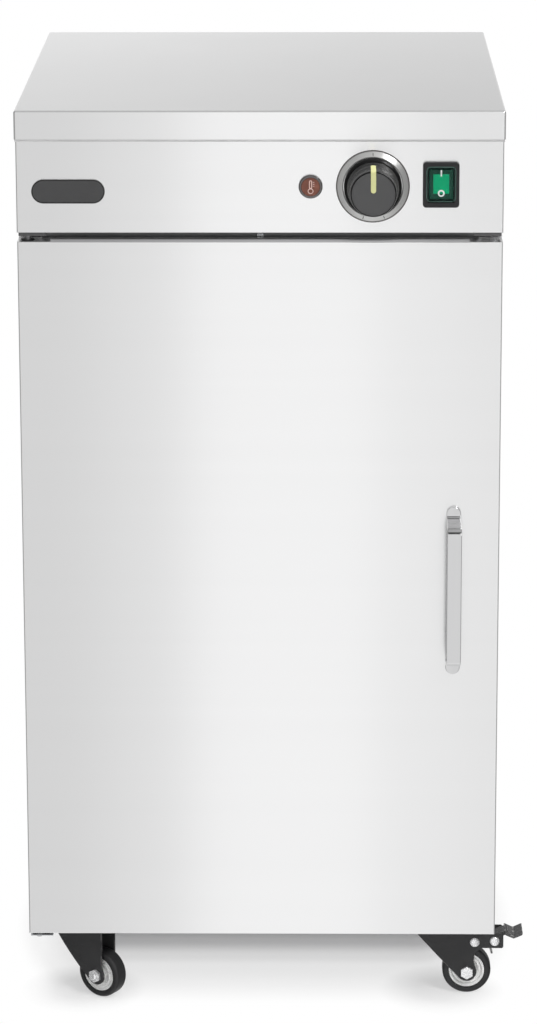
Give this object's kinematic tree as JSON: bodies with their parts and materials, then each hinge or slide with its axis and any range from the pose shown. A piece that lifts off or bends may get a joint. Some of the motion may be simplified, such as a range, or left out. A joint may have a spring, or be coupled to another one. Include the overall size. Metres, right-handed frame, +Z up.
{
  "type": "plate warmer cabinet",
  "caption": "Free-standing heated plate cabinet: folded steel body with worktop lid, hinged insulated door, thermostat knob, rocker switch and swivel castors.",
  "frame": {"origin": "on the floor under the middle of the cabinet", "axes": "+Z up, -Y towards the door and the control panel, +X to the right seen from the front"},
  "size_m": [0.494, 0.529, 0.86],
  "materials": {
    "brushed_steel": "satin brushed stainless steel",
    "plain_steel": "plain mill-finish stainless steel",
    "polished_steel": "polished",
    "chrome_wire": "bright plated",
    "zinc_steel": "bright zinc",
    "dark_steel": "dark textured",
    "mineral_wool": "fibrous",
    "silicone": "matt silicone",
    "element_sheath": "heat-toned",
    "dark_plastic": "fine moulded texture",
    "pale_plastic": "plain moulded",
    "copper": "drawn copper",
    "wire_sleeve": "glass-fibre sleeve",
    "red_lens": "translucent",
    "satin_ring": "turned satin",
    "clear_boot": "clear flexible",
    "badge_black": "blank satin plate",
    "knob_black": "moulded",
    "pointer_yellow": "printed inlay",
    "rocker_green": "translucent moulded",
    "black_paint": "satin black",
    "rim_metal": "pressed steel",
    "tyre": "black rubber"
  },
  "bodies": {
    "cabinet": {"top_lid": "brushed_steel", "side_panel_left": "brushed_steel", "side_panel_right": "brushed_steel", "back_panel": "brushed_steel", "control_panel": "brushed_steel", "base_pan": "plain_steel", "electrics_deck": "plain_steel", "inner_liner": "plain_steel", "element_cover": "plain_steel", "shelf_runners": "plain_steel", "wire_shelves": "chrome_wire", "castor_stems": "zinc_steel", "cabinet_fasteners": "zinc_steel", "hinge_pins": "zinc_steel", "element_clips": "zinc_steel", "hinge_plates": "dark_steel", "insulation_slabs": "mineral_wool", "heating_element": "element_sheath", "thermostat_body": "dark_plastic", "switch_housing": "dark_plastic", "cable_gland": "dark_plastic", "pilot_lamp_body": "dark_plastic", "catch_magnet": "dark_plastic", "safety_cutout": "pale_plastic", "terminal_block": "pale_plastic", "thermostat_sensor": "copper", "wiring_loom": "wire_sleeve", "pilot_lamp_lens": "red_lens", "dial_ring": "satin_ring", "switch_boot": "clear_boot", "badge_plate": "badge_black"},
    "door": {"door_outer_skin": "brushed_steel", "door_inner_skin": "plain_steel", "door_insulation": "mineral_wool", "door_gasket": "silicone", "door_handle": "polished_steel", "handle_screws": "zinc_steel", "hinge_bushes": "pale_plastic"},
    "thermostat_knob": {"knob": "knob_black", "knob_pointer": "pointer_yellow", "thermostat_shaft": "zinc_steel"},
    "switch_rocker": {"rocker": "rocker_green"},
    "castor_front_left": {"fork_front_left": "black_paint", "axle_front_left": "zinc_steel"},
    "wheel_front_left": {"rim_front_left": "rim_metal", "tyre_front_left": "tyre"},
    "castor_front_right": {"fork_front_right": "black_paint", "axle_front_right": "zinc_steel"},
    "wheel_front_right": {"rim_front_right": "rim_metal", "tyre_front_right": "tyre"},
    "pedal_front_right": {"brake_pedal_front_right": "black_paint"},
    "castor_rear_left": {"fork_rear_left": "black_paint", "axle_rear_left": "zinc_steel"},
    "wheel_rear_left": {"rim_rear_left": "rim_metal", "tyre_rear_left": "tyre"},
    "pedal_rear_left": {"brake_pedal_rear_left": "black_paint"},
    "castor_rear_right": {"fork_rear_right": "black_paint", "axle_rear_right": "zinc_steel"},
    "wheel_rear_right": {"rim_rear_right": "rim_metal", "tyre_rear_right": "tyre"}
  },
  "joints": [
    {"name": "door_hinge", "type": "hinge", "parent": "cabinet", "child": "door", "pos_m": [-0.2095, -0.22075, 0.41375], "axis": [0, 0, -1], "range_deg": [0, 180]},
    {"name": "knob_turn", "type": "hinge", "parent": "cabinet", "child": "thermostat_knob", "pos_m": [0.10145, -0.22875, 0.79125], "axis": [0, 1, 0], "range_deg": [0, 270]},
    {"name": "rocker_tilt", "type": "hinge", "parent": "cabinet", "child": "switch_rocker", "pos_m": [0.16255, -0.22675, 0.79305], "axis": [1, 0, 0], "range_deg": [0, 12]},
    {"name": "swivel_front_left", "type": "hinge", "parent": "cabinet", "child": "castor_front_left", "pos_m": [-0.17125, -0.18075, 0.07], "axis": [0, 0, 1], "continuous": true},
    {"name": "spin_front_left", "type": "hinge", "parent": "castor_front_left", "child": "wheel_front_left", "pos_m": [-0.15204, -0.19322, 0.023], "axis": [0.5446, 0.8387, 0], "continuous": true},
    {"name": "swivel_front_right", "type": "hinge", "parent": "cabinet", "child": "castor_front_right", "pos_m": [0.17125, -0.18075, 0.07], "axis": [0, 0, 1], "continuous": true},
    {"name": "spin_front_right", "type": "hinge", "parent": "castor_front_right", "child": "wheel_front_right", "pos_m": [0.19415, -0.18075, 0.023], "axis": [0, 1, 0], "continuous": true},
    {"name": "pedal_press_front_right", "type": "hinge", "parent": "castor_front_right", "child": "pedal_front_right", "pos_m": [0.22035, -0.18075, 0.0541], "axis": [0, 1, 0], "range_deg": [0, 15]},
    {"name": "swivel_rear_left", "type": "hinge", "parent": "cabinet", "child": "castor_rear_left", "pos_m": [-0.17125, 0.18075, 0.07], "axis": [0, 0, 1], "continuous": true},
    {"name": "spin_rear_left", "type": "hinge", "parent": "castor_rear_left", "child": "wheel_rear_left", "pos_m": [-0.19415, 0.18075, 0.023], "axis": [0, -1, 0], "continuous": true},
    {"name": "pedal_press_rear_left", "type": "hinge", "parent": "castor_rear_left", "child": "pedal_rear_left", "pos_m": [-0.22035, 0.18075, 0.0541], "axis": [0, -1, 0], "range_deg": [0, 15]},
    {"name": "swivel_rear_right", "type": "hinge", "parent": "cabinet", "child": "castor_rear_right", "pos_m": [0.17125, 0.18075, 0.07], "axis": [0, 0, 1], "continuous": true},
    {"name": "spin_rear_right", "type": "hinge", "parent": "castor_rear_right", "child": "wheel_rear_right", "pos_m": [0.15371, 0.19547, 0.023], "axis": [-0.6428, -0.766, 0], "continuous": true}
  ]
}
